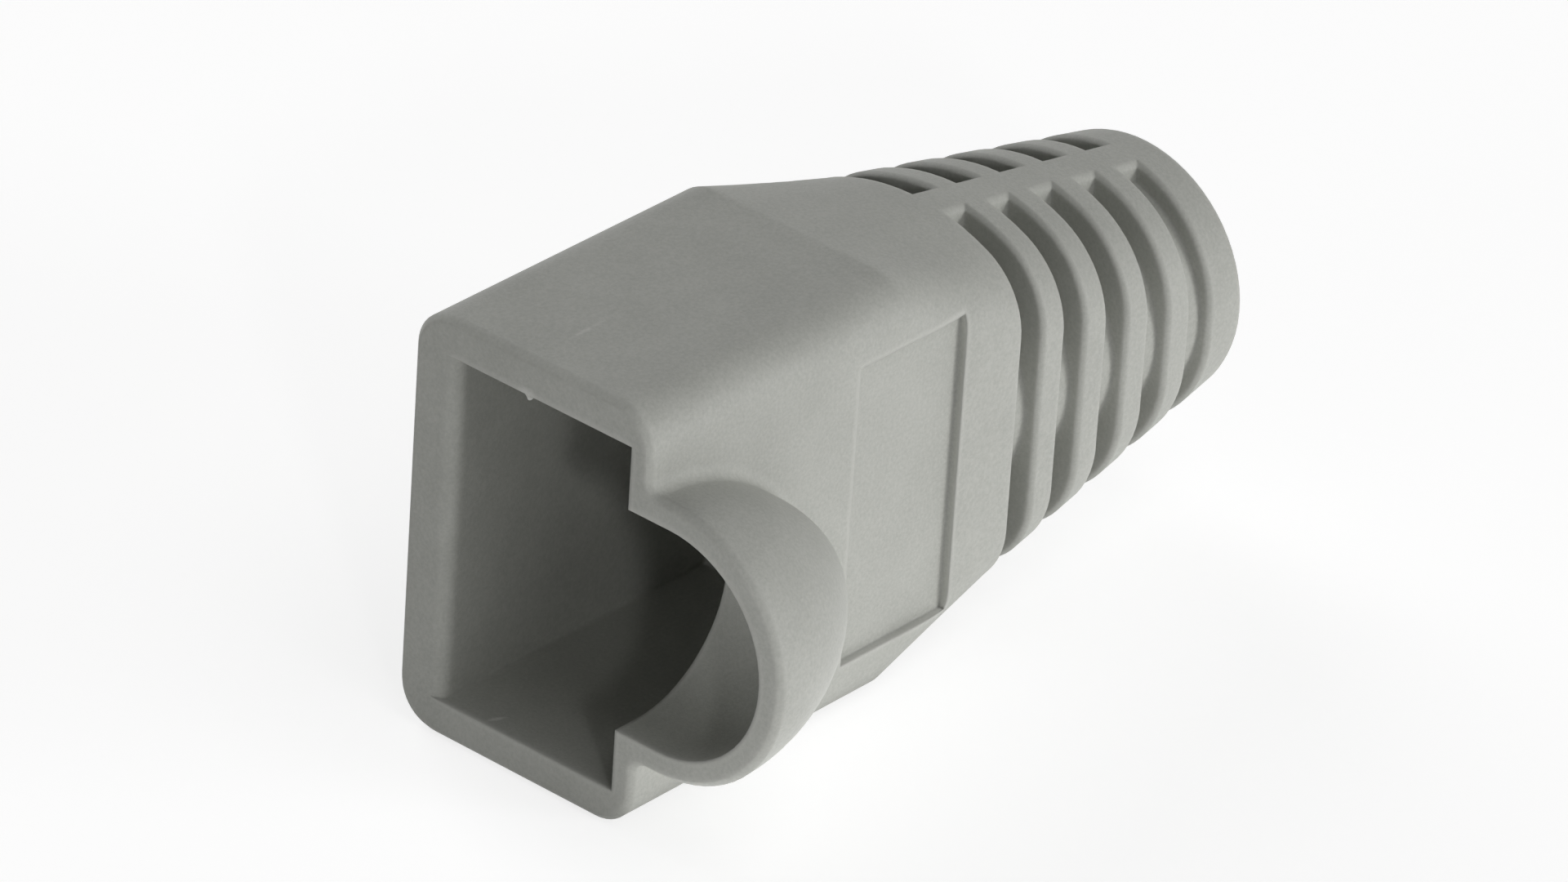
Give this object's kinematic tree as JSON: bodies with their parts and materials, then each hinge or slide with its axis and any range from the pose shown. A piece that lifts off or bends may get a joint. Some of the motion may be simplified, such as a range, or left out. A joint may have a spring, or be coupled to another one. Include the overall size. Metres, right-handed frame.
{
  "type": "rj45 strain relief boot",
  "caption": "Slip-on strain relief boot for a modular plug: square sleeve with a latch hood, tapered neck and ribbed round tail with a cable bore.",
  "frame": {"origin": "centre of the cable bore at its outlet in the tail's end face", "axes": "+X along the cable, out of the tail; -Y towards the latch hood; -Z towards the narrow side that it lies on"},
  "size_m": [0.0282, 0.0152, 0.0146],
  "materials": {
    "soft_pvc": "matte moulded grey PVC"
  },
  "bodies": {
    "root": {"boot": "soft_pvc"}
  },
  "joints": []
}
